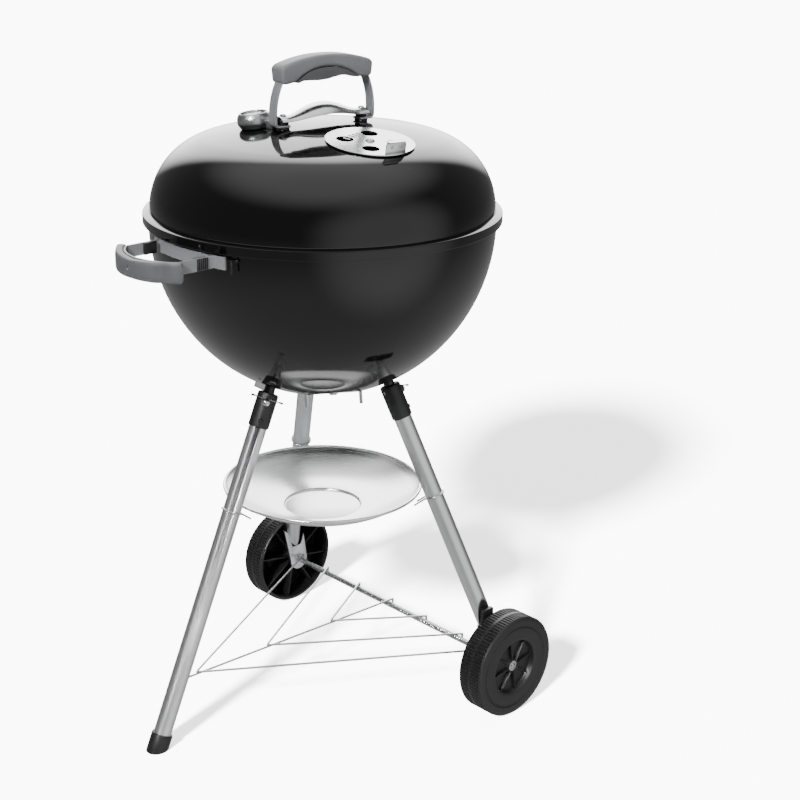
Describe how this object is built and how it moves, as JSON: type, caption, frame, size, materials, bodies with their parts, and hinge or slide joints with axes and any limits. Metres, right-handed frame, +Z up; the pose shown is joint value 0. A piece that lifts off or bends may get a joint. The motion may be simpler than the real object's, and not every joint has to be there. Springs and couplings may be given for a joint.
{
  "type": "kettle charcoal grill",
  "caption": "Round kettle charcoal grill: enamelled bowl and lift-off lid with handle, thermometer and vents, on sloping tube legs with rear wheels, an ash dish and a wire rack.",
  "frame": {"origin": "centre of the grill's footprint on the floor (bottom centre of its bounding box)", "axes": "+Z up; -Y towards the capped front leg and the bowl handle, +Y towards the wheels; +X along the wheel axle"},
  "size_m": [0.532, 0.5724, 0.938],
  "materials": {
    "enamel": "high gloss porcelain enamel, black",
    "polished_aluminium": "rolled, softly polished",
    "vent_metal": "satin",
    "rivet_steel": "satin",
    "grip_plastic": "fine grain, mid grey",
    "soft_insert": "matt, darker grey",
    "painted_strap": "satin grey powder coat",
    "black_plastic": "moulded, slight sheen",
    "bright_steel": "bright plated",
    "leg_aluminium": "drawn tube, satin",
    "dial_print": "printed dial, matt",
    "clear_glass": "clear"
  },
  "bodies": {
    "stand": {"ash_dish": "polished_aluminium", "axle": "bright_steel", "axle_nuts": "bright_steel", "bowl": "enamel", "bowl_handle_bracket": "painted_strap", "bowl_handle_grip": "grip_plastic", "bowl_handle_screw": "bright_steel", "dish_clip_front": "bright_steel", "dish_clip_left": "bright_steel", "dish_clip_right": "bright_steel", "foot_cap": "black_plastic", "grate_lugs": "enamel", "leg_bolts": "bright_steel", "leg_clips": "bright_steel", "leg_collar_front": "black_plastic", "leg_collar_left": "black_plastic", "leg_collar_right": "black_plastic", "leg_end_cap_left": "black_plastic", "leg_end_cap_right": "black_plastic", "leg_plate_left": "leg_aluminium", "leg_plate_right": "leg_aluminium", "leg_stubs": "enamel", "leg_tube_front": "leg_aluminium", "leg_tube_left": "leg_aluminium", "leg_tube_right": "leg_aluminium", "rack_spine": "bright_steel", "rack_wires_left": "bright_steel", "rack_wires_right": "bright_steel", "tool_hook": "bright_steel", "vent_rivets": "rivet_steel"},
    "lid": {"lid": "enamel", "lid_damper_rivet": "rivet_steel", "lid_handle_strap": "painted_strap", "lid_handle_grip": "grip_plastic", "lid_handle_insert": "soft_insert", "heat_shield": "polished_aluminium", "handle_foot_pads": "black_plastic", "handle_spacers": "black_plastic", "handle_screws": "bright_steel", "gauge_bezel": "bright_steel", "gauge_dial": "dial_print", "gauge_stem": "bright_steel", "gauge_glass": "clear_glass", "gauge_bracket": "black_plastic"},
    "lid_damper": {"lid_damper": "polished_aluminium"},
    "gauge_needle": {"gauge_needle": "dial_print"},
    "vent_damper_front_right": {"vent_damper_front_right": "vent_metal"},
    "vent_damper_rear": {"vent_damper_rear": "vent_metal"},
    "vent_damper_front_left": {"vent_damper_front_left": "vent_metal"},
    "wheel_right": {"wheel_right": "black_plastic"},
    "wheel_left": {"wheel_left": "black_plastic"},
    "cooking_grate": {"cooking_grate": "bright_steel", "grate_handles": "bright_steel"},
    "charcoal_grate": {"charcoal_grate": "bright_steel"},
    "leg_button_front": {"leg_button_front": "black_plastic"},
    "leg_button_right": {"leg_button_right": "black_plastic"},
    "leg_button_left": {"leg_button_left": "black_plastic"}
  },
  "joints": [
    {"name": "lid_lift", "type": "slide", "parent": "stand", "child": "lid", "axis": [0, 0, 1], "range_m": [0, 0.3]},
    {"name": "lid_damper_turn", "type": "hinge", "parent": "lid", "child": "lid_damper", "pos_m": [0.11091, 0.02416, 0.83708], "axis": [0.1386, -0.0195, 0.9902], "range_deg": [0, 45]},
    {"name": "gauge_needle_turn", "type": "hinge", "parent": "lid", "child": "gauge_needle", "pos_m": [-0.05477, -0.03293, 0.83977], "axis": [-0.0685, -0.0908, 0.9935], "range_deg": [0, 260], "stiffness_Nm_per_rad": 0.0001},
    {"name": "vent_front_right_turn", "type": "hinge", "parent": "stand", "child": "vent_damper_front_right", "pos_m": [0.06668, 0.00125, 0.48169], "axis": [0.2878, -0.1662, -0.9432], "range_deg": [0, 60]},
    {"name": "vent_rear_turn", "type": "hinge", "parent": "stand", "child": "vent_damper_rear", "pos_m": [0, 0.11675, 0.48169], "axis": [0, 0.3323, -0.9432], "range_deg": [0, 60]},
    {"name": "vent_front_left_turn", "type": "hinge", "parent": "stand", "child": "vent_damper_front_left", "pos_m": [-0.06668, 0.00125, 0.48169], "axis": [-0.2878, -0.1662, -0.9432], "range_deg": [0, 60]},
    {"name": "wheel_right_spin", "type": "hinge", "parent": "stand", "child": "wheel_right", "pos_m": [0.245, 0.17771, 0.076], "axis": [1, 0, 0], "continuous": true},
    {"name": "wheel_left_spin", "type": "hinge", "parent": "stand", "child": "wheel_left", "pos_m": [-0.245, 0.17771, 0.076], "axis": [1, 0, 0], "continuous": true},
    {"name": "cooking_grate_lift", "type": "slide", "parent": "stand", "child": "cooking_grate", "axis": [0, 0, 1], "range_m": [0, 0.02]},
    {"name": "charcoal_grate_lift", "type": "slide", "parent": "stand", "child": "charcoal_grate", "axis": [0, 0, 1], "range_m": [0, 0.1]},
    {"name": "leg_button_front_press", "type": "slide", "parent": "stand", "child": "leg_button_front", "axis": [-0.7547, 0.6016, -0.2618], "range_m": [0, 0.003], "stiffness_N_per_m": 800},
    {"name": "leg_button_right_press", "type": "slide", "parent": "stand", "child": "leg_button_right", "axis": [-0.1436, -0.9544, -0.2618], "range_m": [0, 0.003], "stiffness_N_per_m": 800},
    {"name": "leg_button_left_press", "type": "slide", "parent": "stand", "child": "leg_button_left", "axis": [0.8983, 0.3528, -0.2618], "range_m": [0, 0.003], "stiffness_N_per_m": 800}
  ]
}
